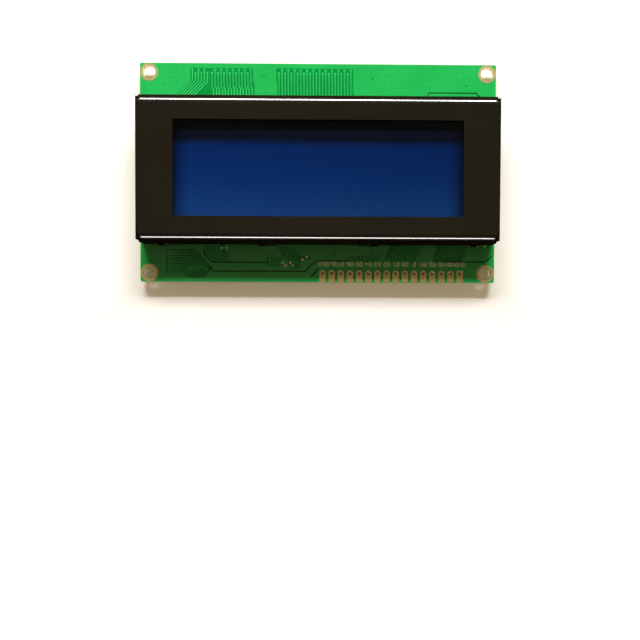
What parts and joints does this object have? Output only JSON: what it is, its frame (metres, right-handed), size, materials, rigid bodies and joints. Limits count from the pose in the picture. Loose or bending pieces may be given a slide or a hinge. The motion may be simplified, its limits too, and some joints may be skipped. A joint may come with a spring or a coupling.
{
  "type": "character lcd module",
  "caption": "Character display module: green circuit board with a folded black metal bezel round a blue display, epoxy-covered chips and resistors behind.",
  "frame": {"origin": "centre of the four mounting holes, on the circuit board's rear face", "axes": "+X to the reader's right along the rows of characters, +Y up the display towards the header row, +Z out of the screen"},
  "size_m": [0.098, 0.06, 0.0128],
  "materials": {
    "solder_mask": "satin",
    "bezel_black": "satin",
    "front_film": "satin",
    "clear_glass": "gloss",
    "cell_sealant": "matt",
    "rear_film": "satin",
    "elastomer": "matt",
    "diffuser_white": "matt",
    "clear_acrylic": "gloss",
    "reflector_white": "satin",
    "frame_white": "matt",
    "strip_board": "satin",
    "lamp_body": "satin",
    "tinned_lead": "satin",
    "solder": "gloss",
    "gold_plate": "gloss",
    "bare_copper": "satin",
    "black_epoxy": "satin",
    "silicon": "gloss",
    "chip_ceramic": "satin"
  },
  "bodies": {
    "root": {"circuit_board": "solder_mask", "bezel_frame": "bezel_black", "front_polarizer": "front_film", "front_glass": "clear_glass", "cell_seal": "cell_sealant", "fill_port_plug": "cell_sealant", "rear_glass": "clear_glass", "rear_polarizer": "rear_film", "zebra_strip_upper": "elastomer", "zebra_strip_lower": "elastomer", "diffuser_film": "diffuser_white", "light_guide": "clear_acrylic", "reflector_film": "reflector_white", "backlight_frame": "frame_white", "led_board": "strip_board", "anode_lead": "tinned_lead", "cathode_lead": "tinned_lead", "anode_solder": "solder", "cathode_solder": "solder", "mounting_plating": "gold_plate", "header_pads": "gold_plate", "lead_plating": "gold_plate", "tab_lands": "bare_copper", "resistor_lands": "gold_plate", "option_lands": "gold_plate", "capacitor_lands": "gold_plate", "converter_lands": "gold_plate", "resistor_terminals": "tinned_lead", "resistor_solder": "solder", "led_chip_1": "lamp_body", "led_chip_2": "lamp_body", "led_chip_3": "lamp_body", "led_chip_4": "lamp_body", "led_chip_5": "lamp_body", "led_chip_6": "lamp_body", "glob_top_u1": "black_epoxy", "die_u1": "silicon", "glob_top_u2": "black_epoxy", "die_u2": "silicon", "glob_top_u3": "black_epoxy", "die_u3": "silicon", "glob_top_u4": "black_epoxy", "die_u4": "silicon", "glob_top_u5": "black_epoxy", "die_u5": "silicon", "resistor_r1": "chip_ceramic", "resistor_r2": "chip_ceramic", "resistor_r3": "chip_ceramic", "resistor_r4": "chip_ceramic", "resistor_r5": "chip_ceramic", "resistor_rf": "chip_ceramic", "resistor_rb": "chip_ceramic", "resistor_r8": "chip_ceramic"}
  },
  "joints": []
}
